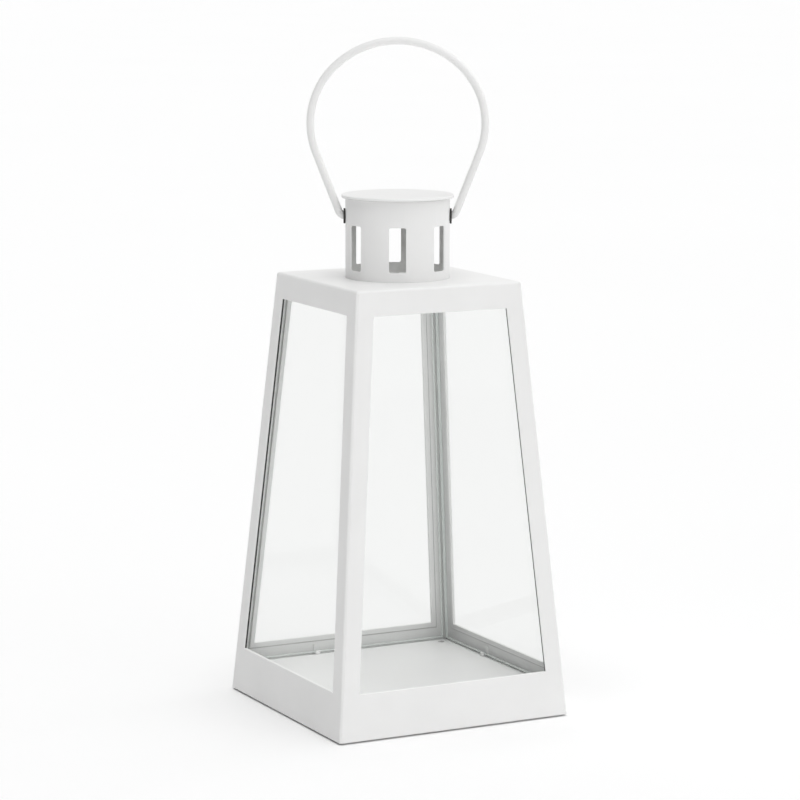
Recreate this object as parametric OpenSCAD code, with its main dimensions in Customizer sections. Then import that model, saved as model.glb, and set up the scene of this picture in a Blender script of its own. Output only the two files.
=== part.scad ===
// Candle lantern: a tapered sheet-steel housing with four glazed windows stands over
// a base tray. A slotted chimney turns in the roof and carries a wire bail handle.
// Millimetres, +Z up. The origin is on the ground, under the middle of the base,
// and the front panel faces -Y.

/* [Housing] */
// Width of the square footprint at the skirt
base_w = 140; // [130:1:160]
// Width of the square roof
roof_w = 100; // [95:1:110]
// Height of the roof above the ground
roof_z = 240; // [238:1:280]
// Gap between the skirt and the ground
skirt_gap = 1; // [0.5:0.5:3]
// Thickness of the sheet steel
sheet = 0.9; // [0.7:0.1:1.2]

/* [Windows] */
// Width of the steel left beside each window
post_w = 10.9; // [10:0.1:14]
// Height of the windows' lower edge above the ground
window_bottom_z = 26; // [24:1:40]
// Height of the windows' upper edge above the ground
window_top_z = 226; // [180:1:226]
// Width of the folded hem round each window
hem_w = 2.8; // [2:0.1:3.5]
// Thickness of the glass
glass_t = 2; // [1.5:0.1:2.5]
// Distance of the glass clips from the middle of their window
clip_x = 18; // [12:1:25]

/* [Base tray] */
// Height of the tray's plate above the ground
tray_z = 15.5; // [12:0.5:15.5]
// Gap between the tray and the inside of the housing
tray_gap = 0.5; // [0.4:0.1:1]
// Diameter of the drain holes
drain_d = 3.8; // [3:0.1:5]
// Distance of the drain holes from the tray's edges
drain_inset = 7; // [6:0.5:12]

/* [Chimney] */
// Outer diameter of the chimney tube
tube_d = 57.2; // [54:0.1:57.4]
// Height of the lid's top above the roof
lid_rise = 45.5; // [40:0.5:50]
// Diameter of the lid
lid_d = 61.6; // [60:0.1:64]
// Height of the lid's turned-down rim
lid_rim = 1.7; // [1.4:0.1:2.5]
// Turn of the chimney against the housing, in degrees
chimney_yaw = -27.3; // [-45:0.1:45]
// Width of the air slots
slot_w = 9.4; // [6:0.1:11]
// Height of the air slots
slot_h = 24.6; // [18:0.1:26]
// Height of the air slots' lower edge above the roof
slot_rise = 4.9; // [4:0.1:8]

/* [Handle] */
// Diameter of the handle wire
wire_d = 4.2; // [3.5:0.1:4.4]
// Height of the handle's pivot above the roof
pivot_rise = 33.5; // [33:0.5:34]
// Greatest half width of the handle, to the middle of the wire
bow_half_w = 47.7; // [47.6:0.1:52]
// Height of the handle's widest point above its pivot
bow_z = 50.4; // [48:0.1:50.6]
// How far the side arcs' centres lie off the middle, which flattens the bow
bow_flat = 4.6; // [3:0.1:6]
// Lean of the straight legs from vertical, in degrees
leg_lean = 21.3; // [20:0.1:21.5]
// Radius of the bends between the legs and the pivot pins
pin_bend_r = 4.5; // [4:0.1:5]

/* [Hidden] */

$fn = 160;
cut = 20;                       // reach of cutting shapes past the metal

// Slope of the walls
wall_run = (base_w - roof_w) / 2;
wall_rise = roof_z - skirt_gap;
wall_tilt = atan(wall_run / wall_rise);
slant = sqrt(wall_run * wall_run + wall_rise * wall_rise);

// Window and glass, measured along the slope from the skirt
window_s0 = (window_bottom_z - skirt_gap) / cos(wall_tilt);
window_s1 = (window_top_z - skirt_gap) / cos(wall_tilt);
hem_t = sheet;
glass_gap = 0.1;                // play behind the hem
glass_depth = sheet + hem_t + glass_gap;
glass_s0 = (tray_z + 1.5 - skirt_gap) / cos(wall_tilt);
glass_s1 = window_s1 + 6;
glass_side = glass_depth + glass_t + 0.6;

// Clips: strips bent round the glass edge
clip_w = 2.6;
clip_t = 0.8;
clip_leg = 5;
clip_lip = 2;
clip_play = 0.1;

// Inside half width of the housing at the tray's plate
tray_half = base_w / 2 - sheet / cos(wall_tilt) - tan(wall_tilt) * (tray_z - skirt_gap) - tray_gap;
tray_corner_r = 2;

// Chimney
tube_r = tube_d / 2;
lid_top_z = roof_z + lid_rise;
tube_top_z = lid_top_z - sheet;
tube_fit = 0.08;                // running fit of the tube in the roof
flange_r = tube_r + 4.5;
flange_play = 0.3;
flange_z = roof_z - sheet - flange_play - sheet;
ring_outer_r = flange_r + 4;
ring_inner_r = tube_r + 1.5;
slot_corner_r = 1.2;
// Directions of the air slots, from the chimney's front
slot_angles = [0, 53.6, 133, 185.6, 226, -53.6];
seam_angle = -59;
seam_w = 0.4;
seam_depth = 0.25;

// Handle
wire_r = wire_d / 2;
pivot_z = roof_z + pivot_rise;
washer_t = 1;
washer_r = 4.2;
washer_bore_r = wire_r + 0.6;
pin_hole_r = wire_r + 0.2;
pin_reach = 4.5;                // pin inside the tube's wall
side_arc_r = bow_half_w - bow_flat;
top_arc_r = side_arc_r + bow_flat * sqrt(2);
shoulder = [top_arc_r * cos(45), bow_z - bow_flat + top_arc_r * sin(45)];
leg_top = [bow_flat + side_arc_r * cos(leg_lean), bow_z - side_arc_r * sin(leg_lean)];
leg_foot_x = leg_top[0] - leg_top[1] * tan(leg_lean);
bend_turn = 90 - leg_lean;
bend_tangent = pin_bend_r * tan(bend_turn / 2);
bend_centre_x = leg_foot_x - bend_tangent;
leg_len = leg_top[1] / cos(leg_lean) - bend_tangent;
leg_end = [bend_centre_x + pin_bend_r * cos(leg_lean), pin_bend_r * (1 - sin(leg_lean))];
pin_end_x = tube_r - sheet - pin_reach;
joint_swell = 0.03;
joint_len = 0.6;

paint = "whitesmoke";
glass_tint = "azure";

// Half width of a wall's outer face at a distance along its slope
function face_half(s) = base_w / 2 - wall_run * s / slant;

// Trapezoid on a wall between two slope distances, a set distance in from its corners
module wall_trapezoid(s0, s1, inset) {
    w0 = face_half(s0) - inset;
    w1 = face_half(s1) - inset;
    polygon([[-w0, s0], [w0, s0], [w1, s1], [-w1, s1]]);
}

// Puts a shape drawn as [across, along slope, outward] on one wall, turned from the front
module on_wall(turn) {
    rotate([0, 0, turn])
        translate([0, -base_w / 2, skirt_gap])
            rotate([90 - wall_tilt, 0, 0])
                children();
}

// Layer of a wall between two depths behind its outer face
module wall_layer(depth, thickness) {
    translate([0, 0, -depth - thickness])
        linear_extrude(thickness)
            children();
}

// Wedge that ends each panel at its mitred corners and under the roof
module mitre_wedge() {
    reach = base_w / 2 + cut;
    translate([0, 0, skirt_gap])
        linear_extrude(roof_z - sheet - skirt_gap)
            polygon([[0, 0], [-reach, -reach], [reach, -reach]]);
}

module panel(turn) {
    color(paint)
        intersection() {
            rotate([0, 0, turn]) mitre_wedge();
            on_wall(turn) {
                wall_layer(0, sheet)
                    difference() {
                        wall_trapezoid(-1, slant + 1, -1);
                        wall_trapezoid(window_s0, window_s1, post_w);
                    }
                wall_layer(sheet, hem_t)
                    difference() {
                        wall_trapezoid(window_s0 - hem_w, window_s1 + hem_w, post_w - hem_w);
                        wall_trapezoid(window_s0, window_s1, post_w);
                    }
            }
        }
}

module glass(turn) {
    color(glass_tint, 0.35)
        on_wall(turn)
            wall_layer(glass_depth, glass_t)
                wall_trapezoid(glass_s0, glass_s1, glass_side);
}

// One clip: a leg on the wall, a foot across the glass edge at slope distance zero, and a
// lip behind the glass. The leg starts leg_start from the glass edge.
module glass_clip(leg_start) {
    foot_start = -clip_play - clip_t;
    foot_depth = glass_depth + glass_t + clip_play + clip_t;
    translate([-clip_w / 2, 0, 0]) {
        translate([0, leg_start, -sheet - clip_t])
            cube([clip_w, clip_leg, clip_t]);
        translate([0, foot_start, -foot_depth])
            cube([clip_w, clip_t, foot_depth - sheet]);
        translate([0, foot_start, -foot_depth])
            cube([clip_w, clip_lip, clip_t]);
    }
}

// The legs run up between the wall and the glass, clear of the tray
module lower_glass_clips() {
    color(paint)
        for (turn = [0:90:270])
            on_wall(turn)
                translate([clip_x, glass_s0, 0])
                    glass_clip(-clip_play - clip_t);
}

// The legs run up toward the roof, clear of the hem
module upper_glass_clips() {
    color(paint)
        for (turn = [0:90:270], side = [-1, 1])
            on_wall(turn)
                translate([side * clip_x, glass_s1, 0])
                    mirror([0, 1, 0])
                        glass_clip(-clip_play - clip_leg);
}

module roof_plate() {
    color(paint)
        translate([0, 0, roof_z - sheet])
            linear_extrude(sheet)
                difference() {
                    square(roof_w, center = true);
                    circle(tube_r + tube_fit);
                }
}

module rounded_square(half, r) {
    square([2 * half, 2 * (half - r)], center = true);
    square([2 * (half - r), 2 * half], center = true);
    for (x = [-1, 1], y = [-1, 1])
        translate([x * (half - r), y * (half - r)])
            circle(r);
}

// Folded pan, open side down, with a drain hole near each corner
module base_tray() {
    hole_at = tray_half - drain_inset;
    color(paint)
        difference() {
            linear_extrude(tray_z)
                rounded_square(tray_half, tray_corner_r);
            translate([0, 0, -1])
                linear_extrude(tray_z - sheet + 1)
                    rounded_square(tray_half - sheet, tray_corner_r - sheet);
            for (x = [-1, 1], y = [-1, 1])
                translate([x * hole_at, y * hole_at, tray_z - cut / 2])
                    cylinder(h = cut, d = drain_d);
        }
}

// Ring under the roof that carries the chimney's flange and lets it turn
module chimney_retaining_ring() {
    color(paint)
        translate([0, 0, flange_z - flange_play - sheet])
            difference() {
                cylinder(h = roof_z - flange_z + flange_play, r = ring_outer_r);
                translate([0, 0, -1])
                    cylinder(h = cut, r = ring_inner_r);
                translate([0, 0, sheet])
                    cylinder(h = cut, r = flange_r + 0.5);
            }
}

// Upright slot cut through the tube wall on its front
module air_slot() {
    w = slot_w - 2 * slot_corner_r;
    h = slot_h - 2 * slot_corner_r;
    rotate([90, 0, 0])
        linear_extrude(tube_r + cut)
            translate([0, slot_h / 2]) {
                square([slot_w, h], center = true);
                square([w, slot_h], center = true);
                for (x = [-1, 1], y = [-1, 1])
                    translate([x * w / 2, y * h / 2])
                        circle(slot_corner_r);
            }
}

module chimney_tube() {
    color(paint)
        rotate([0, 0, chimney_yaw])
            difference() {
                union() {
                    translate([0, 0, flange_z])
                        cylinder(h = tube_top_z - flange_z, r = tube_r);
                    translate([0, 0, flange_z])
                        cylinder(h = sheet, r = flange_r);
                }
                translate([0, 0, flange_z - 1])
                    cylinder(h = tube_top_z, r = tube_r - sheet);
                for (angle = slot_angles)
                    rotate([0, 0, angle])
                        translate([0, 0, roof_z + slot_rise])
                            air_slot();
                for (side = [-1, 1])
                    translate([0, 0, pivot_z])
                        rotate([0, side * 90, 0])
                            cylinder(h = tube_r + cut, r = pin_hole_r);
                rotate([0, 0, seam_angle])
                    translate([-seam_w / 2, -tube_r - 1, roof_z])
                        cube([seam_w, 1 + seam_depth, lid_rise]);
            }
}

module chimney_lid() {
    color(paint)
        rotate([0, 0, chimney_yaw])
            translate([0, 0, lid_top_z - lid_rim])
                difference() {
                    cylinder(h = lid_rim, d = lid_d);
                    translate([0, 0, -1])
                        cylinder(h = lid_rim - sheet + 1, d = lid_d - 2 * sheet);
                }
}

// Bent length of wire about the local Z axis, from one angle to another
module wire_arc(r, from, to) {
    rotate([0, 0, from])
        rotate_extrude(angle = to - from, $fn = 120)
            translate([r, 0])
                circle(wire_r, $fn = 32);
}

// Short sleeve, a touch fuller than the wire, where two lengths of it run together
module wire_joint(at, lean) {
    translate(at)
        rotate([90, 0, -lean])
            cylinder(h = joint_len, r = wire_r + joint_swell, center = true, $fn = 32);
}

// One half of the handle, drawn flat as [across, up] and stood up by handle()
module half_bow() {
    translate([0, bow_z - bow_flat])
        wire_arc(top_arc_r, 45, 90);
    translate([bow_flat, bow_z])
        wire_arc(side_arc_r, -leg_lean, 45);
    wire_joint(shoulder, -45);
    wire_joint(leg_top, leg_lean);
    translate(leg_top)
        rotate([90, 0, -leg_lean])
            cylinder(h = leg_len, r = wire_r, $fn = 32);
    wire_joint(leg_end, leg_lean);
    translate([bend_centre_x, pin_bend_r])
        wire_arc(pin_bend_r, -90, -leg_lean);
    wire_joint([bend_centre_x, 0], 90);
    translate([pin_end_x, 0, 0])
        rotate([0, 90, 0])
            cylinder(h = bend_centre_x - pin_end_x, r = wire_r, $fn = 32);
}

module handle() {
    color(paint)
        rotate([0, 0, chimney_yaw])
            translate([0, 0, pivot_z])
                rotate([90, 0, 0]) {
                    half_bow();
                    mirror([1, 0, 0]) half_bow();
                }
}

// Washer whose inner face is shaped to the tube
module handle_washer(side) {
    color("dimgray")
        rotate([0, 0, chimney_yaw])
            difference() {
                translate([0, 0, pivot_z])
                    rotate([0, side * 90, 0])
                        difference() {
                            cylinder(h = tube_r + washer_t, r = washer_r);
                            translate([0, 0, -1])
                                cylinder(h = tube_r + cut, r = washer_bore_r);
                        }
                cylinder(h = lid_top_z, r = tube_r);
            }
}

base_tray();
panel(0);  // front_panel
panel(90);  // right_panel
panel(180);  // rear_panel
panel(270);  // left_panel
roof_plate();
glass(0);  // front_glass
glass(90);  // right_glass
glass(180);  // rear_glass
glass(270);  // left_glass
lower_glass_clips();
upper_glass_clips();
chimney_retaining_ring();
chimney_tube();
chimney_lid();
handle();
handle_washer(-1);  // left_handle_washer
handle_washer(1);  // right_handle_washer
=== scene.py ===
"""Candle lantern: skins, glass, paint, floor, light and camera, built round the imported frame. In metres."""
import math

import bmesh
import bpy
from mathutils import Matrix, Vector


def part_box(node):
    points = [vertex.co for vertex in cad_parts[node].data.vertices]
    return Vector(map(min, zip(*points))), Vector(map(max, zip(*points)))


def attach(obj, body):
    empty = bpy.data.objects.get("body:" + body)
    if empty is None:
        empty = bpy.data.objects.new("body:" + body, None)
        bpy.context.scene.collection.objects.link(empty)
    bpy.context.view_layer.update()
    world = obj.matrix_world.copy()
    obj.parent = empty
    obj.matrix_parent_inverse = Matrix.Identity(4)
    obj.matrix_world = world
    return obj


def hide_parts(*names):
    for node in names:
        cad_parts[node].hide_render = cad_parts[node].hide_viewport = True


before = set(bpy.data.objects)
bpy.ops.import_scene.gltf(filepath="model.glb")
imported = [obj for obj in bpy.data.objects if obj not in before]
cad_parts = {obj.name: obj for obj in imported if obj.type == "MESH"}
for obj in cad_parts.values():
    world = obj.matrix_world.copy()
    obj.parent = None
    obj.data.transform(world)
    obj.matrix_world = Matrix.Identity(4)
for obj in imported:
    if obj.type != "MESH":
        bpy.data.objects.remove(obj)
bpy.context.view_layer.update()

MM = 0.001

# Driving sizes, taken from the frame where its boxes give them
PANEL_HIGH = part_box("front_panel")[1]
ROOF_LOW, ROOF_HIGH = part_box("roof_plate")
TRAY_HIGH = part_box("base_tray")[1]
LID_LOW, LID_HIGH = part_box("chimney_lid")

SHEET = ROOF_HIGH.z - ROOF_LOW.z
SKIRT_HALF = PANEL_HIGH.x
ROOF_HALF = ROOF_HIGH.x
ROOF_Z = ROOF_HIGH.z
SKIRT_Z = 1.0 * MM
SKIRT_ROUND = 0.25 * MM
SKIRT_BEVEL_SHARE = 0.25        # of the sheet's thickness, at each side of the cut edge
WALL_SLOPE = (SKIRT_HALF - ROOF_HALF) / (ROOF_Z - SKIRT_Z)
WALL_TILT = math.atan(WALL_SLOPE)

# Housing
CORNER_R = 1.6 * MM
POST = 10.9 * MM
WINDOW_LOW = 26 * MM
WINDOW_HIGH = 226 * MM
HEM_WIDTH = 2.8 * MM
HEM_DEPTH = 2 * SHEET
HEM_ROUND = 0.5 * MM
HEM_EDGE = 0.15 * MM            # bevel on the hem's raw edge
FLUE_ROUND = 0.25 * MM
ROOF_SPOKES = 32                # along each side of the roof
# Width of the grey painted shade strip beside each hem's raw edge
SHADE_STRIP = 0.8 * MM
# Width of the near-black painted shade along each inner corner of a wall
DARK_CORNER = 1.5 * MM
# Windows whose side reveals take near-black painted shade
SHADE_LINED_WINDOWS = ("front_panel", "left_panel")
# Panes whose inner side chamfers take near-black painted shade
PANES_SHADED_AT_SIDES = ("left_glass", "right_glass")

# Glass
PANE_DEPTH = HEM_DEPTH + 0.1 * MM
PANE_THICK = 2.0 * MM
PANE_LOW = TRAY_HIGH.z + 1.5 * MM
PANE_OVERLAP = 6.0 * MM
PANE_SIDE = PANE_DEPTH + PANE_THICK + 0.6 * MM
PANE_CHAMFER = 0.25 * MM

# Base tray
DRAIN_D = 3.8 * MM
DRAIN_INSET = 7.0 * MM
DRAIN_MARGIN = 1.6 * MM         # plate round each hole that is meshed with it
DRAIN_ROUND = 0.2 * MM
TRAY_ROUND = 1.6 * MM
EDGE_BEVEL = 0.2 * MM           # on the cut edges of the tray and the tube's foot

# Chimney and handle
CHIMNEY_YAW = math.radians(-27.3)
TUBE_R = 28.6 * MM
TUBE_FIT = 0.08 * MM
TUBE_TOP = LID_HIGH.z - SHEET
FLANGE_R = TUBE_R + 4.5 * MM
FLANGE_Z = ROOF_Z - 2 * SHEET - 0.3 * MM
LID_R = 30.8 * MM
SLOT_W = 9.4 * MM
SLOT_H = 24.6 * MM
SLOT_LOW = ROOF_Z + 4.9 * MM
SLOT_CORNER = 1.2 * MM
SLOT_ROUND = 0.22 * MM
SLOT_MARGIN = 1.2 * MM          # tube round each slot that is meshed with it
SLOT_STEPS = 5
SLOT_ANGLES = [0, 53.6, 133, 185.6, 226, 306.4]
ROUND_LENGTH = 2 * math.pi * TUBE_R
TUBE_COLUMNS = 150
COLUMN_GAP = 0.45 * MM          # least distance from a plain column to a slot's column
PIVOT_BAND = 3 * MM             # rows above and below the handle's pivot
RIM_HEIGHT = 0.3 * MM
RIM_BEVEL = 0.25 * MM
FOOT_BEND = 0.8 * MM            # outer radius between the tube and its foot flange
LID_ROLL = 0.7 * MM
LID_BORDER = 2.2 * MM
LID_CREASE = 0.3 * MM
LID_CENTRE = 0.02 * MM          # a pinhole, so that the disc's faces stay four-sided
LID_SEGMENTS = 160
PIVOT_Z = ROOF_Z + 33.5 * MM
WIRE_R = 2.1 * MM
BOW_HALF = 47.7 * MM
BOW_Z = 50.4 * MM
BOW_FLAT = 4.6 * MM
LEG_LEAN = math.radians(21.3)
PIN_BEND_R = 4.5 * MM
PIN_REACH = 4.5 * MM
WIRE_SIDES = 28
WIRE_TIP = 0.5 * MM             # rounding of the wire's ends

WELD = 1e-6


# ---------------------------------------------------------------- mesh helpers

def finish_mesh(name, faces, material, weighted=True):
    """One object from a list of faces, each a list of points. Equal points are welded."""
    bm = bmesh.new()
    for points in faces:
        bm.faces.new([bm.verts.new(p) for p in points])
    bmesh.ops.remove_doubles(bm, verts=bm.verts, dist=WELD)
    bmesh.ops.dissolve_degenerate(bm, edges=bm.edges, dist=WELD)
    bmesh.ops.recalc_face_normals(bm, faces=bm.faces)
    mesh = bpy.data.meshes.new(name)
    bm.to_mesh(mesh)
    bm.free()
    mesh.polygons.foreach_set("use_smooth", [True] * len(mesh.polygons))
    mesh.set_sharp_from_angle(angle=math.radians(50))
    mesh.materials.append(material)
    piece = bpy.data.objects.new(name, mesh)
    bpy.context.scene.collection.objects.link(piece)
    if weighted:
        modifier = piece.modifiers.new("flat faces stay flat", "WEIGHTED_NORMAL")
        modifier.keep_sharp = True
    return piece


def strip(row_a, row_b, closed=False):
    """Quads between two rows of points of the same length."""
    count = len(row_a)
    last = count if closed else count - 1
    return [[row_a[i], row_a[(i + 1) % count], row_b[(i + 1) % count], row_b[i]] for i in range(last)]


def loft(rings, closed_rings=True, closed_rows=True):
    """Quads through a list of rings. With closed_rows the last ring joins the first."""
    faces = []
    pairs = list(zip(rings, rings[1:]))
    if closed_rows:
        pairs.append((rings[-1], rings[0]))
    for a, b in pairs:
        faces += strip(a, b, closed_rings)
    return faces


def lattice(us, vs, place, holes=()):
    """Quads of a sheet over the breaks us and vs, leaving out the cells inside each hole (u0, u1, v0, v1)."""
    faces = []
    for u0, u1 in zip(us, us[1:]):
        for v0, v1 in zip(vs, vs[1:]):
            um, vm = (u0 + u1) / 2, (v0 + v1) / 2
            if any(h[0] < um < h[1] and h[2] < vm < h[3] for h in holes):
                continue
            faces.append([place(u0, v0), place(u1, v0), place(u1, v1), place(u0, v1)])
    return faces


def hole_edge(us, vs, hole):
    """The lattice points round one hole, in order."""
    inside_u = [u for u in us if hole[0] - WELD <= u <= hole[1] + WELD]
    inside_v = [v for v in vs if hole[2] - WELD <= v <= hole[3] + WELD]
    path = [(u, inside_v[0]) for u in inside_u[:-1]]
    path += [(inside_u[-1], v) for v in inside_v[:-1]]
    path += [(u, inside_v[-1]) for u in reversed(inside_u[1:])]
    path += [(inside_u[0], v) for v in reversed(inside_v[1:])]
    return path


def spread(a, b, count):
    """count + 1 even steps from a to b."""
    return [a + (b - a) * i / count for i in range(count + 1)]


def merge_breaks(*groups):
    """All break values in order, with near-equal ones taken once."""
    out = []
    for value in sorted(v for group in groups for v in group):
        if not out or value - out[-1] > 2 * WELD:
            out.append(value)
    return out


def fillet(depth, radius, count):
    """Cross-section of a punched edge from one face to the other, as (offset outward, depth) pairs."""
    steps = [math.pi / 2 * i / count for i in range(count + 1)]
    near = [(radius * (1 - math.sin(t)), radius * (1 - math.cos(t))) for t in steps]
    far = [(offset, depth - d) for offset, d in reversed(near)]
    return near + far


def rounded_outline(u, v, centre, half, corner_r, offset):
    """The point on a rounded rectangle's outline, moved outward by offset, nearest to (u, v)."""
    core = [half[0] - corner_r, half[1] - corner_r]
    du, dv = u - centre[0], v - centre[1]
    qu = max(-core[0], min(core[0], du))
    qv = max(-core[1], min(core[1], dv))
    away = math.hypot(du - qu, dv - qv)
    reach = (corner_r + offset) / away
    return centre[0] + qu + (du - qu) * reach, centre[1] + qv + (dv - qv) * reach


def lathe(profile, segments):
    """Faces of a profile of (radius, z) points turned about Z."""
    rings = []
    for i in range(segments):
        a = 2 * math.pi * i / segments
        rings.append([Vector((r * math.cos(a), r * math.sin(a), z)) for r, z in profile])
    return loft(rings)


def turned(faces, matrix):
    """The same faces moved by a matrix."""
    return [[matrix @ Vector(p) for p in points] for points in faces]


def arc(centre, radius, start, end, count):
    """Points on an arc in a plane, with angles in degrees."""
    return [(centre[0] + radius * math.cos(math.radians(a)), centre[1] + radius * math.sin(math.radians(a)))
            for a in spread(start, end, count)]


def cell_centre(hole):
    """The middle of a hole's cell (u0, u1, v0, v1)."""
    return (hole[0] + hole[1]) / 2, (hole[2] + hole[3]) / 2


# ---------------------------------------------------------------- materials

def new_material(name):
    """An empty node material with its Principled shader and a vector in object space."""
    material = bpy.data.materials.new(name)
    material.use_nodes = True
    nodes = material.node_tree.nodes
    shader = nodes["Principled BSDF"]
    place = nodes.new("ShaderNodeTexCoord")
    return material, shader, place.outputs["Object"]


def noise(material, vector, scale, detail=2.0, roughness=0.5):
    """A noise texture's value output."""
    node = material.node_tree.nodes.new("ShaderNodeTexNoise")
    node.inputs["Scale"].default_value = scale
    node.inputs["Detail"].default_value = detail
    node.inputs["Roughness"].default_value = roughness
    material.node_tree.links.new(vector, node.inputs["Vector"])
    return node.outputs["Fac"]


def ramp(material, value, stops):
    """A colour ramp fed by value, with stops of (position, colour)."""
    node = material.node_tree.nodes.new("ShaderNodeValToRGB")
    elements = node.color_ramp.elements
    while len(elements) < len(stops):
        elements.new(0.5)
    for element, (position, colour) in zip(elements, stops):
        element.position = position
        element.color = (*colour, 1.0)
    material.node_tree.links.new(value, node.inputs["Fac"])
    return node.outputs["Color"]


def scaled(material, value, low, high):
    """value, from 0..1, mapped to low..high."""
    node = material.node_tree.nodes.new("ShaderNodeMapRange")
    node.inputs["To Min"].default_value = low
    node.inputs["To Max"].default_value = high
    material.node_tree.links.new(value, node.inputs["Value"])
    return node.outputs["Result"]


def bump(material, height, distance, strength, under=None):
    """A bump node on height, over another bump's normal if given."""
    node = material.node_tree.nodes.new("ShaderNodeBump")
    node.inputs["Distance"].default_value = distance
    node.inputs["Strength"].default_value = strength
    material.node_tree.links.new(height, node.inputs["Height"])
    if under is not None:
        material.node_tree.links.new(under, node.inputs["Normal"])
    return node.outputs["Normal"]


def tint(material, shader, value, stops):
    """Colour a shader by value, over stops of (position, colour)."""
    material.node_tree.links.new(ramp(material, value, stops), shader.inputs["Base Color"])


def roughen(material, shader, value, low, high):
    """Vary a shader's roughness by value, from low to high."""
    material.node_tree.links.new(scaled(material, value, low, high), shader.inputs["Roughness"])


def relief(material, shader, height, distance, strength, under=None):
    """Give a shader a bump by height."""
    material.node_tree.links.new(bump(material, height, distance, strength, under), shader.inputs["Normal"])


def powder_coat(name, light, dark):
    """White powder coat: orange-peel texture about a millimetre across, with slow colour drift."""
    material, shader, place = new_material(name)
    tint(material, shader, noise(material, place, scale=35, detail=3), [(0.3, dark), (0.7, light)])
    roughen(material, shader, noise(material, place, scale=220), low=0.34, high=0.46)
    peel = bump(material, noise(material, place, scale=900, roughness=0.6), distance=0.08 * MM, strength=0.35)
    relief(material, shader, noise(material, place, scale=90), distance=0.4 * MM, strength=0.10, under=peel)
    shader.inputs["IOR"].default_value = 1.5
    shader.inputs["Specular IOR Level"].default_value = 0.15
    return material


def clear_glass():
    """Thin clear window glass that lets light straight through, with a faint green tint and soft streaks."""
    material, shader, place = new_material("window_glass")
    nodes, links = material.node_tree.nodes, material.node_tree.links
    nodes.remove(shader)
    clear = nodes.new("ShaderNodeBsdfTransparent")
    clear.inputs["Color"].default_value = (0.978, 0.980, 0.978, 1)
    gloss = nodes.new("ShaderNodeBsdfGlossy")
    gloss.inputs["Color"].default_value = (1, 1, 1, 1)
    roughen(material, gloss, noise(material, place, scale=18, detail=3), low=0.0, high=0.04)
    relief(material, gloss, noise(material, place, scale=6, detail=1), distance=0.6 * MM, strength=0.05)
    facing = nodes.new("ShaderNodeLayerWeight")
    facing.inputs["Blend"].default_value = 0.5
    graze = nodes.new("ShaderNodeMath")
    graze.operation = "POWER"
    graze.inputs[1].default_value = 5.0
    links.new(facing.outputs["Facing"], graze.inputs[0])
    mix = nodes.new("ShaderNodeMixShader")
    links.new(scaled(material, graze.outputs["Value"], low=0.02, high=0.25), mix.inputs["Fac"])
    links.new(clear.outputs["BSDF"], mix.inputs[1])
    links.new(gloss.outputs["BSDF"], mix.inputs[2])
    passing = nodes.new("ShaderNodeBsdfTransparent")
    passing.inputs["Color"].default_value = (0.99, 0.99, 0.99, 1)
    path = nodes.new("ShaderNodeLightPath")
    seen = nodes.new("ShaderNodeMixShader")
    links.new(path.outputs["Is Camera Ray"], seen.inputs["Fac"])
    links.new(passing.outputs["BSDF"], seen.inputs[1])
    links.new(mix.outputs["Shader"], seen.inputs[2])
    links.new(seen.outputs["Shader"], nodes["Material Output"].inputs["Surface"])
    return material


def glass_edge():
    """The ground edge of a pane: pale sea green, with a fine grain."""
    material, shader, place = new_material("glass_edge")
    grain = noise(material, place, scale=1400)
    tint(material, shader, grain, [(0.2, (0.78, 0.84, 0.81)), (0.8, (0.90, 0.94, 0.92))])
    roughen(material, shader, grain, low=0.18, high=0.34)
    relief(material, shader, grain, distance=0.05 * MM, strength=0.4)
    return material


def dark_steel():
    """Oiled dark steel of the handle's washers, with turning marks."""
    material, shader, place = new_material("washer_steel")
    grain = noise(material, place, scale=1500, detail=3)
    tint(material, shader, grain, [(0.3, (0.035, 0.035, 0.036)), (0.7, (0.085, 0.083, 0.080))])
    roughen(material, shader, grain, low=0.35, high=0.6)
    relief(material, shader, grain, distance=0.04 * MM, strength=0.4)
    shader.inputs["Metallic"].default_value = 0.8
    return material


def painted_shade_grey():
    """Dull dark grey with soft mottling: painted shade inside the chimney, under the lid's rim and in the
    strips beside the hems.
    """
    material, shader, place = new_material("painted_shade_grey")
    mottle = noise(material, place, scale=120, detail=4)
    tint(material, shader, mottle, [(0.3, (0.50, 0.50, 0.49)), (0.7, (0.64, 0.64, 0.63))])
    roughen(material, shader, mottle, low=0.45, high=0.7)
    relief(material, shader, noise(material, place, scale=1600), distance=0.03 * MM, strength=0.4)
    return material


def painted_shade_black():
    """Near black: painted shade in the windows' side reveals between hem and glass, on the side chamfers of
    two panes, and along the inner corners.
    """
    material, shader, place = new_material("painted_shade_black_line")
    grain = noise(material, place, scale=800)
    tint(material, shader, grain, [(0.3, (0.030, 0.032, 0.030)), (0.7, (0.060, 0.062, 0.060))])
    roughen(material, shader, grain, low=0.5, high=0.7)
    relief(material, shader, grain, distance=0.04 * MM, strength=0.4)
    return material


def floor_paper():
    """Matt white studio floor with a barely visible change of tone."""
    material, shader, place = new_material("floor_paper")
    tone = noise(material, place, scale=2, detail=1)
    tint(material, shader, tone, [(0.3, (0.955, 0.955, 0.955)), (0.7, (0.96, 0.96, 0.96))])
    shader.inputs["Roughness"].default_value = 0.9
    shader.inputs["Specular IOR Level"].default_value = 0.1
    return material


PAINT = powder_coat("white_powder_coat", (0.85, 0.85, 0.845), (0.825, 0.825, 0.82))
# Painted light: a lighter copy of the same coat, standing in for light inside the lantern and for a highlight
# on the windows' bottom reveals
PAINT_LIGHTENED = powder_coat("white_powder_coat_painted_light", (0.955, 0.96, 0.95), (0.93, 0.935, 0.925))
GLASS = clear_glass()
GLASS_EDGE = glass_edge()
STEEL = dark_steel()
SHADE_GREY = painted_shade_grey()
SHADE_BLACK = painted_shade_black()


# ---------------------------------------------------------------- housing

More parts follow.
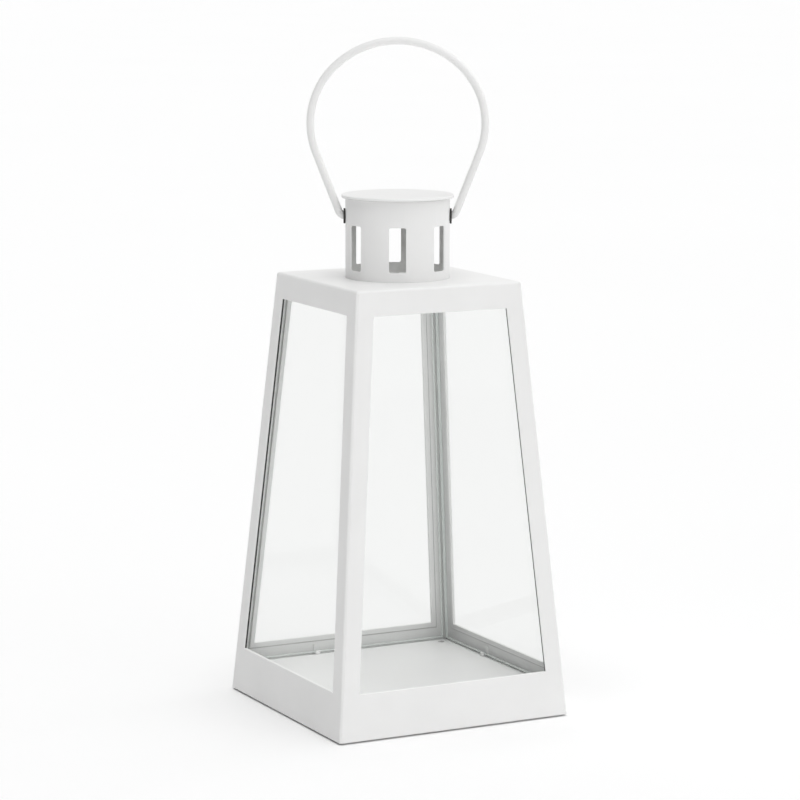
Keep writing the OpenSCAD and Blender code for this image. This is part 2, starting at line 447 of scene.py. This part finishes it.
def wall_half(z):
    """Half width of the housing's outer face at a height."""
    return SKIRT_HALF - WALL_SLOPE * (z - SKIRT_Z)


def wall_point(x, z, depth):
    """A point on the front wall, depth behind its outer face."""
    return Vector((x, depth - wall_half(z), z))


BEND_STEPS = 6
BEND_ANGLES = [math.radians(45 * i / BEND_STEPS) for i in range(BEND_STEPS + 1)]
WALL_CORE_TOP = ROOF_Z - CORNER_R


def wall_surface(u, v, depth):
    """The front wall's surface at depth 0 or SHEET.

    u is ('bend', signed angle) or ('flat', inset, share). v is ('bend', angle) or ('flat', height).
    """
    z = WALL_CORE_TOP if v[0] == "bend" else v[1]
    up = v[1] if v[0] == "bend" else 0.0
    core_half = wall_half(z) - CORNER_R
    radius = CORNER_R - depth
    if u[0] == "bend":
        normal = Vector((math.tan(u[1]), -1.0, math.tan(up))).normalized()
        x = math.copysign(core_half, u[1])
    else:
        normal = Vector((0.0, -1.0, math.tan(up))).normalized()
        x = u[2] * (wall_half(z) - u[1])
    return Vector((x, -core_half, z)) + normal * radius


WINDOW_COLUMNS = 8
WINDOW_ROWS = 16
SKIRT_ROWS = 4


def wall_columns(hole_inset):
    """Column keys from the left mitre to the window, across it, and on to the right mitre."""
    insets = [CORNER_R, DARK_CORNER, (DARK_CORNER + hole_inset) / 2]
    left = [("bend", -a) for a in reversed(BEND_ANGLES[1:])] + [("flat", c, -1.0) for c in insets]
    middle = [("flat", hole_inset, share) for share in spread(-1.0, 1.0, WINDOW_COLUMNS)]
    right = [("flat", c, 1.0) for c in reversed(insets)] + [("bend", a) for a in BEND_ANGLES[1:]]
    return left, middle, right


def wall_rows(hole_low, hole_high):
    """Row keys from the skirt to the window, past it, and on to the roof's mitre."""
    below = [("flat", z) for z in spread(SKIRT_Z + SKIRT_ROUND, hole_low, SKIRT_ROWS)[:-1]]
    beside = [("flat", z) for z in spread(hole_low, hole_high, WINDOW_ROWS)]
    above = [("flat", z) for z in spread(hole_high, WALL_CORE_TOP, 2)[1:]]
    return below, beside, above + [("bend", a) for a in BEND_ANGLES[1:]]


def wall_sheet(depth, growth):
    """Faces of one side of a wall and its grid of points. growth widens the window's hole."""
    left, middle, right = wall_columns(POST - growth)
    below, beside, above = wall_rows(WINDOW_LOW - growth, WINDOW_HIGH + growth)
    grid = [[wall_surface(u, v, depth) for v in below + beside + above] for u in left + middle + right]
    faces = []
    for i in range(len(grid) - 1):
        for j in range(len(grid[0]) - 1):
            across_window = len(left) <= i < len(left) + WINDOW_COLUMNS
            along_window = len(below) <= j < len(below) + WINDOW_ROWS
            if not (across_window and along_window):
                faces.append([grid[i][j], grid[i + 1][j], grid[i + 1][j + 1], grid[i][j + 1]])
    return faces, grid


def window_ring(offset, depth):
    """Points round the window, offset outward from its edge and depth behind the face."""
    def point(share_x, share_z):
        z = (WINDOW_LOW - offset) * (1 - share_z) + (WINDOW_HIGH + offset) * share_z
        return wall_point(share_x * (wall_half(z) - POST + offset), z, depth)
    shares_x = spread(-1.0, 1.0, WINDOW_COLUMNS)
    shares_z = spread(0.0, 1.0, WINDOW_ROWS)
    ring = [point(x, 0.0) for x in shares_x[:-1]]
    ring += [point(1.0, z) for z in shares_z[:-1]]
    ring += [point(x, 1.0) for x in reversed(shares_x[1:])]
    ring += [point(-1.0, z) for z in reversed(shares_z[1:])]
    return ring


def panel_faces():
    """The front panel: a thin sheet with bent corners and a folded hem round its window."""
    outer, outer_grid = wall_sheet(0.0, HEM_ROUND)
    inner, inner_grid = wall_sheet(SHEET, HEM_WIDTH + SHADE_STRIP)
    fold = fillet(HEM_DEPTH, HEM_ROUND, 5)
    raw_edge = [(HEM_WIDTH - HEM_EDGE, HEM_DEPTH), (HEM_WIDTH, HEM_DEPTH - HEM_EDGE), (HEM_WIDTH, SHEET),
                (HEM_WIDTH + SHADE_STRIP, SHEET)]
    rings = [window_ring(offset, depth) for offset, depth in fold + raw_edge]
    faces = outer + inner + loft(rings, closed_rows=False)
    for side in (0, -1):
        faces += strip(outer_grid[side], inner_grid[side])
    faces += strip([column[-1] for column in outer_grid], [column[-1] for column in inner_grid])
    faces += skirt_edge([column[0] for column in outer_grid], [column[0] for column in inner_grid])
    return faces


def skirt_edge(outer_row, inner_row):
    """The cut lower edge of a wall, a touch rounded."""
    low = Vector((0, 0, -SKIRT_ROUND))
    outer_low = [a + low + (b - a) * SKIRT_BEVEL_SHARE for a, b in zip(outer_row, inner_row)]
    inner_low = [b + low + (a - b) * SKIRT_BEVEL_SHARE for a, b in zip(outer_row, inner_row)]
    return strip(outer_row, outer_low) + strip(outer_low, inner_low) + strip(inner_low, inner_row)


# Material slots of a wall: plain coat, lighter coat as painted light, grey painted shade, near-black painted
# shade
COATED, COATED_LIGHTENED, SHADED_GREY, SHADED_BLACK = range(4)
# How far a wall's face turns sideways, up or inward before it takes another finish
SIDEWAYS = 0.7
UPWARD = 0.6
INWARD = 0.5
SHADE_START = 0.6 * SHEET        # depth behind the outer face
STRIP_END = 1.3 * SHEET


def inner_finish(centre, normal, shade_lined):
    """Material slot of one face of a wall that is turned to the front."""
    half = wall_half(centre.z)
    across = abs(centre.x)
    depth = centre.y + half
    beside_window = half - POST - HEM_ROUND < across < half - POST + HEM_ROUND
    in_reveal = beside_window and WINDOW_LOW < centre.z < WINDOW_HIGH
    # Painted shade: near-black on the side reveals of those windows
    if shade_lined and in_reveal and abs(normal.x) > SIDEWAYS and depth > SHADE_START:
        return SHADED_BLACK
    # Painted highlight: the up-facing reveal at a window's foot takes the lighter coat
    if normal.z > UPWARD and WINDOW_LOW - HEM_ROUND < centre.z < WINDOW_LOW + HEM_ROUND:
        return COATED_LIGHTENED
    if normal.y < INWARD:
        return COATED
    # Painted shade: near-black along each inner corner
    if half - across < DARK_CORNER:
        return SHADED_BLACK
    # Painted shade: a grey strip just beyond each hem's raw edge
    beyond = max(across - (half - POST), WINDOW_LOW - centre.z, centre.z - WINDOW_HIGH)
    if depth < STRIP_END and HEM_WIDTH < beyond < HEM_WIDTH + SHADE_STRIP:
        return SHADED_GREY
    # Painted light: the other inward faces take the lighter coat
    return COATED_LIGHTENED


def make_panels():
    """The four walls, one piece each."""
    faces = panel_faces()
    for turn, node in enumerate(("front_panel", "right_panel", "rear_panel", "left_panel")):
        matrix = Matrix.Rotation(math.pi / 2 * turn, 4, "Z")
        piece = finish_mesh(node + "_skin", turned(faces, matrix), PAINT)
        # Extra slots: lighter coat as painted light, grey and near-black painted shade
        for material in (PAINT_LIGHTENED, SHADE_GREY, SHADE_BLACK):
            piece.data.materials.append(material)
        back = matrix.inverted()
        for polygon in piece.data.polygons:
            place, normal = back @ polygon.center, back.to_3x3() @ polygon.normal
            polygon.material_index = inner_finish(place, normal, node in SHADE_LINED_WINDOWS)
        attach(piece, "housing")
        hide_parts(node)


def roof_ring(angle, radius, flats):
    """One ring of the roof's rounded border, bent by 0, at the flat top, to 45 degrees, at the mitre."""
    core = wall_half(WALL_CORE_TOP) - CORNER_R
    bends = [angle * i / BEND_STEPS for i in range(BEND_STEPS + 1)]
    ring = []
    for turn in range(4):
        matrix = Matrix.Rotation(math.pi / 2 * turn, 4, "Z")
        side = []
        for bend in reversed(bends[1:]):
            normal = Vector((-math.tan(bend), -math.tan(angle), 1.0)).normalized()
            side.append(Vector((-core, -core, WALL_CORE_TOP)) + normal * radius)
        normal = Vector((0.0, -math.tan(angle), 1.0)).normalized()
        for share in flats:
            side.append(Vector((share * core, -core, WALL_CORE_TOP)) + normal * radius)
        for bend in bends[1:-1]:
            normal = Vector((math.tan(bend), -math.tan(angle), 1.0)).normalized()
            side.append(Vector((core, -core, WALL_CORE_TOP)) + normal * radius)
        ring += [matrix @ p for p in side]
    return ring


def make_roof():
    """The roof sheet, with a rounded border and a flue hole."""
    flats = [math.tan(math.radians(a)) for a in spread(-45, 45, ROOF_SPOKES)]
    outer = [roof_ring(a, CORNER_R, flats) for a in reversed(BEND_ANGLES)]
    inner = [roof_ring(a, CORNER_R - SHEET, flats) for a in BEND_ANGLES]
    hole = []
    for offset, depth in fillet(SHEET, FLUE_ROUND, 3):
        reach = TUBE_R + TUBE_FIT + offset
        level = Vector((0, 0, ROOF_Z - depth))
        hole.append([Vector((p.x, p.y, 0)).normalized() * reach + level for p in outer[-1]])
    piece = finish_mesh("roof_plate_skin", loft(outer + hole + inner), PAINT)
    # Painted light: the roof's underside takes the lighter coat
    piece.data.materials.append(PAINT_LIGHTENED)
    for polygon in piece.data.polygons:
        if polygon.normal.z < -0.5:
            polygon.material_index = 1
    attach(piece, "housing")
    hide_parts("roof_plate")


def on_wall(turn):
    """Matrix that puts [across, along the slope, outward] on one wall."""
    return (Matrix.Rotation(math.pi / 2 * turn, 4, "Z")
            @ Matrix.Translation((0, -SKIRT_HALF, SKIRT_Z))
            @ Matrix.Rotation(math.pi / 2 - WALL_TILT, 4, "X"))


def slope_half(s):
    """Half width of a wall's outer face at a distance along its slope."""
    return SKIRT_HALF - s * math.sin(WALL_TILT)


def make_panes():
    """The four panes: clear faces, chamfered and ground edges."""
    s0 = (PANE_LOW - SKIRT_Z) / math.cos(WALL_TILT)
    s1 = (WINDOW_HIGH - SKIRT_Z) / math.cos(WALL_TILT) + PANE_OVERLAP

    def outline(inset, depth):
        w0 = slope_half(s0) - PANE_SIDE - inset
        w1 = slope_half(s1) - PANE_SIDE - inset
        return [Vector(p) for p in ((-w0, s0 + inset, -depth), (w0, s0 + inset, -depth),
                                    (w1, s1 - inset, -depth), (-w1, s1 - inset, -depth))]

    near, far = PANE_DEPTH, PANE_DEPTH + PANE_THICK
    rings = [outline(PANE_CHAMFER, near), outline(0, near + PANE_CHAMFER),
             outline(0, far - PANE_CHAMFER), outline(PANE_CHAMFER, far)]
    faces = loft(rings, closed_rows=False) + [rings[0], rings[-1]]
    for turn, node in enumerate(("front_glass", "right_glass", "rear_glass", "left_glass")):
        piece = finish_mesh(node + "_pane", turned(faces, on_wall(turn)), GLASS, weighted=False)
        piece.data.materials.append(GLASS_EDGE)
        piece.data.materials.append(SHADE_BLACK)
        back = on_wall(turn).to_3x3().inverted()
        largest = max(p.area for p in piece.data.polygons)
        for polygon in piece.data.polygons:
            normal = back @ polygon.normal
            polygon.material_index = 0 if polygon.area > largest / 2 else 1
            # Painted shade: near-black on the inner side chamfers
            if node in PANES_SHADED_AT_SIDES and abs(normal.x) > 0.5 and normal.z < -0.5:
                polygon.material_index = 2
            polygon.use_smooth = False
        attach(piece, "housing")
        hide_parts(node)


# ---------------------------------------------------------------- base tray

def make_tray():
    """A pan folded from one sheet, open side down, with four drain holes."""
    half = TRAY_HIGH.x
    core = half - TRAY_ROUND
    top = TRAY_HIGH.z
    at = half - DRAIN_INSET
    reach = DRAIN_D / 2 + DRAIN_MARGIN
    patch = spread(at - reach, at + reach, 8)
    breaks = merge_breaks([-core, 0, core], patch, [-b for b in patch])
    holes = [(sx * at - reach, sx * at + reach, sy * at - reach, sy * at + reach)
             for sx in (-1, 1) for sy in (-1, 1)]
    faces = []
    for depth in (0.0, SHEET):
        faces += lattice(breaks, breaks, lambda u, v, d=depth: Vector((u, v, top - d)), holes)
    for hole in holes:
        edge = hole_edge(breaks, breaks, hole)
        radius = DRAIN_D / 2
        rings = [[Vector((u, v, top)) for u, v in edge]]
        for offset, depth in fillet(SHEET, DRAIN_ROUND, 3):
            outline = [rounded_outline(u, v, cell_centre(hole), (radius, radius), radius, offset)
                       for u, v in edge]
            rings.append([Vector((u, v, top - depth)) for u, v in outline])
        rings.append([Vector((u, v, top - SHEET)) for u, v in edge])
        faces += loft(rings, closed_rows=False)
    faces += loft(tray_border(breaks, core, top), closed_rows=False)
    # Painted light: the whole tray takes the lighter coat
    piece = finish_mesh("base_tray_pan", faces, PAINT_LIGHTENED)
    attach(piece, "base")
    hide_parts("base_tray")


def tray_border(breaks, core, top):
    """Rings from the plate's outer edge round the bend, down the flange and back up its inside."""
    def ring(reach, z):
        corner_steps = 5
        points = []
        for turn in range(4):
            matrix = Matrix.Rotation(math.pi / 2 * turn, 4, "Z")
            side = [Vector((x, -core - reach, z)) for x in breaks[:-1]]
            for i in range(corner_steps + 1):
                a = math.pi / 2 * i / corner_steps
                side.append(Vector((core + reach * math.sin(a), -core - reach * math.cos(a), z)))
            points += [matrix @ p for p in side[:-1]]
        return points

    bends = [math.radians(a) for a in spread(0, 90, 6)]
    inner_r = TRAY_ROUND - SHEET
    centre_z = top - TRAY_ROUND
    rings = [ring(TRAY_ROUND * math.sin(a), centre_z + TRAY_ROUND * math.cos(a)) for a in bends]
    rings += [ring(TRAY_ROUND, EDGE_BEVEL), ring(TRAY_ROUND - EDGE_BEVEL, 0)]
    rings += [ring(inner_r + EDGE_BEVEL, 0), ring(inner_r, EDGE_BEVEL)]
    rings += [ring(inner_r * math.sin(a), centre_z + inner_r * math.cos(a)) for a in reversed(bends)]
    return rings


# ---------------------------------------------------------------- chimney

def yawed():
    """Turn of the chimney against the housing."""
    return Matrix.Rotation(CHIMNEY_YAW, 4, "Z")


def tube_point(u, z, depth):
    """A point on the tube: u is the distance round its outside from the front, in metres of arc."""
    a = u / TUBE_R
    r = TUBE_R - depth
    return Vector((r * math.sin(a), -r * math.cos(a), z))


def tube_columns():
    """Breaks round the tube, from the front slot's left side, and the slots' cells."""
    corner = SLOT_CORNER + SLOT_MARGIN
    outer = SLOT_W / 2 + SLOT_MARGIN
    low, high = SLOT_LOW - SLOT_MARGIN, SLOT_LOW + SLOT_H + SLOT_MARGIN
    slot_us, holes = [], []
    for angle in SLOT_ANGLES:
        mid = math.radians(angle) * TUBE_R
        slot_us += [mid + side * (outer - step) for side in (-1, 1) for step in spread(0, corner, SLOT_STEPS)]
        slot_us += [mid]
        holes.append((mid - outer, mid + outer, low, high))
    start = holes[0][0]
    plain = [start + ROUND_LENGTH * i / TUBE_COLUMNS for i in range(TUBE_COLUMNS)]
    clear = [u for u in plain if all(abs(u - x) > COLUMN_GAP for x in slot_us)
             and not any(hole[0] - WELD < u < hole[1] + WELD for hole in holes)]
    return merge_breaks(slot_us, clear, [start + ROUND_LENGTH]), holes


def tube_rows(low, high):
    """Breaks up the tube, past the slots' cells from low to high."""
    corner = SLOT_CORNER + SLOT_MARGIN
    return merge_breaks([FLANGE_Z + SHEET + FOOT_BEND, ROOF_Z, low],
                        [low + step for step in spread(0, corner, SLOT_STEPS)],
                        [high - step for step in spread(0, corner, SLOT_STEPS)],
                        spread(low + corner, high - corner, 6),
                        [PIVOT_Z - PIVOT_BAND, PIVOT_Z + PIVOT_BAND, TUBE_TOP - RIM_HEIGHT])


def slot_wall(us, vs, hole):
    """The punched edge of one air slot, joined to the tube's two faces."""
    edge = hole_edge(us, vs, hole)
    half = (SLOT_W / 2, SLOT_H / 2)
    rings = [[tube_point(u, v, 0) for u, v in edge]]
    for offset, depth in fillet(SHEET, SLOT_ROUND, 3):
        outline = [rounded_outline(u, v, cell_centre(hole), half, SLOT_CORNER, offset) for u, v in edge]
        rings.append([tube_point(u, v, depth) for u, v in outline])
    rings.append([tube_point(u, v, SHEET) for u, v in edge])
    return loft(rings, closed_rows=False)


def foot_profile():
    """The foot flange as (z, depth) pairs, from the tube's outer face round to its inner face."""
    reach = FLANGE_R - TUBE_R
    top = FLANGE_Z + SHEET
    inner_bend = FOOT_BEND + SHEET
    foot = [(top + FOOT_BEND, 0.0)]
    for bend in spread(0, 90, 4)[1:]:
        a = math.radians(bend)
        foot.append((top + FOOT_BEND - FOOT_BEND * math.sin(a), -FOOT_BEND + FOOT_BEND * math.cos(a)))
    foot += [(top, -reach + EDGE_BEVEL), (top - EDGE_BEVEL, -reach),
             (FLANGE_Z + EDGE_BEVEL, -reach), (FLANGE_Z, -reach + EDGE_BEVEL)]
    for bend in spread(90, 0, 5):
        a = math.radians(bend)
        foot.append((FLANGE_Z + inner_bend - inner_bend * math.sin(a), -FOOT_BEND + inner_bend * math.cos(a)))
    return foot


def make_tube():
    """The chimney tube: rolled sheet with punched slots and a foot flange."""
    us, holes = tube_columns()
    vs = tube_rows(*holes[0][2:])
    faces = []
    for face_depth in (0.0, SHEET):
        faces += lattice(us, vs, lambda u, v, d=face_depth: tube_point(u, v, d), holes)
    for hole in holes:
        faces += slot_wall(us, vs, hole)
    rim = [(TUBE_TOP - RIM_HEIGHT, 0.0), (TUBE_TOP, RIM_BEVEL),
           (TUBE_TOP, SHEET - RIM_BEVEL), (TUBE_TOP - RIM_HEIGHT, SHEET)]
    for profile in (rim, foot_profile()):
        rings = [[tube_point(u, z, depth) for u in us] for z, depth in profile]
        faces += loft(rings, closed_rings=False, closed_rows=False)
    piece = finish_mesh("chimney_tube_skin", turned(faces, yawed()), PAINT)
    # Painted shade: the tube's inner faces take the dull grey
    piece.data.materials.append(SHADE_GREY)
    for polygon in piece.data.polygons:
        out = Vector((polygon.center.x, polygon.center.y, 0))
        if out.length < TUBE_R - 0.8 * SHEET and out.dot(polygon.normal) < 0:
            polygon.material_index = 1
    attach(piece, "chimney")
    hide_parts("chimney_tube")


def make_lid():
    """The chimney's lid: a flat disc with its rim turned down and rolled."""
    top, low = LID_HIGH.z, LID_LOW.z
    profile = [(LID_CENTRE, top), (LID_R / 2, top), (LID_R - LID_BORDER, top)]
    profile += arc((LID_R - LID_ROLL, top - LID_ROLL), LID_ROLL, 90, 0, 6)
    profile += arc((LID_R - SHEET / 2, low + SHEET / 2), SHEET / 2, 0, -180, 8)
    profile += [(LID_R - SHEET, top - SHEET - EDGE_BEVEL), (LID_R - SHEET - LID_CREASE, top - SHEET),
                (LID_R / 2, top - SHEET), (LID_CENTRE, top - SHEET)]
    piece = finish_mesh("chimney_lid_skin", lathe(profile, LID_SEGMENTS), PAINT)
    piece.data.materials.append(SHADE_GREY)
    # Painted shade: dull grey under the disc and on the rim's lower edge, a dark line under the rim
    for polygon in piece.data.polygons:
        under_the_disc = polygon.normal.z < -0.9 and polygon.center.z > top - 1.5 * SHEET
        on_the_cut_edge = polygon.normal.z < -0.5 and polygon.center.z < low + SHEET
        if under_the_disc or on_the_cut_edge:
            polygon.material_index = 1
    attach(piece, "chimney")
    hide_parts("chimney_lid")


# ---------------------------------------------------------------- handle

def handle_path():
    """Centre line of the handle as (across, up) from its pivot, from one pin's tip to the other's."""
    side_r = BOW_HALF - BOW_FLAT
    top_r = side_r + BOW_FLAT * math.sqrt(2)
    lean = math.degrees(LEG_LEAN)
    leg_top = (BOW_FLAT + side_r * math.cos(LEG_LEAN), BOW_Z - side_r * math.sin(LEG_LEAN))
    foot_x = leg_top[0] - leg_top[1] * math.tan(LEG_LEAN)
    bend_x = foot_x - PIN_BEND_R * math.tan((math.pi / 2 - LEG_LEAN) / 2)
    tip_x = TUBE_R - SHEET - PIN_REACH
    half = [(tip_x, 0.0), ((tip_x + bend_x) / 2, 0.0)]
    half += arc((bend_x, PIN_BEND_R), PIN_BEND_R, -90, -lean, 10)
    bend_end = half[-1]
    half += [(bend_end[0] + (leg_top[0] - bend_end[0]) * t, bend_end[1] + (leg_top[1] - bend_end[1]) * t)
             for t in spread(0, 1, 8)[1:-1]]
    half += arc((BOW_FLAT, BOW_Z), side_r, -lean, 45, 26)
    half += arc((0, BOW_Z - BOW_FLAT), top_r, 45, 90, 22)[1:]
    return half + [(-x, z) for x, z in reversed(half[:-1])]


def sweep(path, radius, sides, tip_round):
    """Faces of a round wire along a flat path, with rounded-over tips."""
    count = len(path)
    rings = []
    stations = []
    for i, (x, z) in enumerate(path):
        ax, az = path[max(i - 1, 0)]
        bx, bz = path[min(i + 1, count - 1)]
        length = math.hypot(bx - ax, bz - az)
        stations.append((x, z, (bx - ax) / length, (bz - az) / length, radius))

    def tip(station, sign):
        x, z, tx, tz, _ = station
        out = []
        for a in [math.radians(t) for t in (0, 30, 60, 80)]:
            back = tip_round * (1 - math.sin(a))
            tip_radius = radius - tip_round * (1 - math.cos(a))
            out.append((x + sign * tx * back, z + sign * tz * back, tx, tz, tip_radius))
        return out

    stations = list(reversed(tip(stations[0], 1))) + stations[1:-1] + tip(stations[-1], -1)
    for x, z, tx, tz, r in stations:
        ring = []
        for i in range(sides):
            a = 2 * math.pi * i / sides
            out = r * math.cos(a)
            ring.append(Vector((x - tz * out, r * math.sin(a), z + tx * out)))
        rings.append(ring)
    return loft(rings, closed_rows=False) + [rings[0], rings[-1]]


def make_handle():
    """The bail: one round wire, bent in at both ends."""
    faces = sweep(handle_path(), WIRE_R, WIRE_SIDES, WIRE_TIP)
    place = yawed() @ Matrix.Translation((0, 0, PIVOT_Z))
    piece = finish_mesh("handle_wire", turned(faces, place), PAINT)
    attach(piece, "handle")
    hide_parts("handle")


def paint_frame_nodes():
    """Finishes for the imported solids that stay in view."""
    finishes = {
        # Painted light: the glass clips take the lighter coat
        "lower_glass_clips": PAINT_LIGHTENED,
        "upper_glass_clips": PAINT_LIGHTENED,
        "chimney_retaining_ring": PAINT,
        "left_handle_washer": STEEL,
        "right_handle_washer": STEEL,
    }
    for node, material in finishes.items():
        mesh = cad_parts[node].data
        mesh.materials.clear()
        mesh.materials.append(material)


# ---------------------------------------------------------------- studio

CAMERA_AZIMUTH = math.radians(-27.26)
CAMERA_ELEVATION = math.radians(8.97)
CAMERA_ROLL = math.radians(0.106)
CAMERA_DISTANCE = 1.751
CAMERA_LENS = 142.6
CAMERA_AIM_RIGHT = 0.0015
CAMERA_AIM_Z = 0.1714
CAMERA_FAR = 100
FLOOR_REACH = 30.0


def make_camera():
    """A long lens, a little above the lantern, with the front corner left of the middle."""
    a, e = CAMERA_AZIMUTH, CAMERA_ELEVATION
    back = Vector((math.sin(a) * math.cos(e), -math.cos(a) * math.cos(e), math.sin(e)))
    right = Vector((math.cos(a), math.sin(a), 0))
    aim = right * CAMERA_AIM_RIGHT + Vector((0, 0, CAMERA_AIM_Z))
    data = bpy.data.cameras.new("camera")
    data.lens = CAMERA_LENS
    data.clip_end = CAMERA_FAR
    camera = bpy.data.objects.new("camera", data)
    bpy.context.scene.collection.objects.link(camera)
    camera.location = aim + back * CAMERA_DISTANCE
    turn = (-back).to_track_quat("-Z", "Y")
    camera.rotation_mode = "QUATERNION"
    camera.rotation_quaternion = turn @ Matrix.Rotation(CAMERA_ROLL, 3, "Z").to_quaternion()
    bpy.context.scene.camera = camera


def make_floor():
    """A wide pale floor."""
    mesh = bpy.data.meshes.new("floor")
    reach = FLOOR_REACH
    corners = [(-reach, -reach, 0), (reach, -reach, 0), (reach, reach, 0), (-reach, reach, 0)]
    mesh.from_pydata(corners, [], [(0, 1, 2, 3)])
    mesh.materials.append(floor_paper())
    floor = bpy.data.objects.new("floor", mesh)
    bpy.context.scene.collection.objects.link(floor)


# Sky strength straight above, what it loses toward the left and gains the other ways, and its least value
SKY_LEVEL = 0.40
SKY_LEFT = 1.15
SKY_RIGHT = 0.10
SKY_FRONT = 0.80
SKY_BACK = 0.55
SKY_LEAST = 0.10
# Each lamp's direction from the lantern, strength and angular width in degrees
LAMPS = {
    "key_from_the_right": (Vector((0.90, 0.05, 0.30)), 0.42, 30),
    "top_from_the_left": (Vector((-0.12, -0.06, 0.99)), 1.44, 45),
    "fill_from_the_left": (Vector((-0.80, -0.45, 0.12)), 0.42, 40),
}


def make_light():
    """A white surround, dimmer to the left and brighter in front and behind, and three broad soft suns."""
    world = bpy.data.worlds.new("studio")
    bpy.context.scene.world = world
    world.use_nodes = True
    nodes, links = world.node_tree.nodes, world.node_tree.links
    place = nodes.new("ShaderNodeTexCoord")
    split = nodes.new("ShaderNodeSeparateXYZ")
    links.new(place.outputs["Generated"], split.inputs["Vector"])

    def math_node(operation, first, second, third=None):
        node = nodes.new("ShaderNodeMath")
        node.operation = operation
        for socket, value in zip(node.inputs, (first, second, third)):
            if isinstance(value, float):
                socket.default_value = value
            elif value is not None:
                links.new(value, socket)
        return node.outputs["Value"]

    level = SKY_LEVEL
    for operation, axis, gain in (("MINIMUM", "X", SKY_LEFT), ("MAXIMUM", "X", SKY_RIGHT),
                                  ("MINIMUM", "Y", -SKY_FRONT), ("MAXIMUM", "Y", SKY_BACK)):
        level = math_node("MULTIPLY_ADD", math_node(operation, split.outputs[axis], 0.0), gain, level)
    level = math_node("MAXIMUM", level, SKY_LEAST)
    light = nodes["Background"]
    light.inputs["Color"].default_value = (1, 1, 1, 1)
    links.new(level, light.inputs["Strength"])
    seen = nodes.new("ShaderNodeBackground")
    seen.inputs["Color"].default_value = (1, 1, 1, 1)
    seen.inputs["Strength"].default_value = 1.0
    path = nodes.new("ShaderNodeLightPath")
    mix = nodes.new("ShaderNodeMixShader")
    links.new(path.outputs["Is Camera Ray"], mix.inputs["Fac"])
    links.new(light.outputs["Background"], mix.inputs[1])
    links.new(seen.outputs["Background"], mix.inputs[2])
    links.new(mix.outputs["Shader"], nodes["World Output"].inputs["Surface"])
    for name, (toward, power, spread_angle) in LAMPS.items():
        data = bpy.data.lights.new(name, "SUN")
        data.energy = power
        data.angle = math.radians(spread_angle)
        lamp = bpy.data.objects.new(name, data)
        bpy.context.scene.collection.objects.link(lamp)
        lamp.rotation_mode = "QUATERNION"
        lamp.rotation_quaternion = (-toward).to_track_quat("-Z", "Y")


make_camera()
make_floor()
make_light()
make_panels()
make_roof()
make_panes()
make_tray()
make_tube()
make_lid()
make_handle()
paint_frame_nodes()
bpy.context.scene.view_settings.view_transform = "Standard"
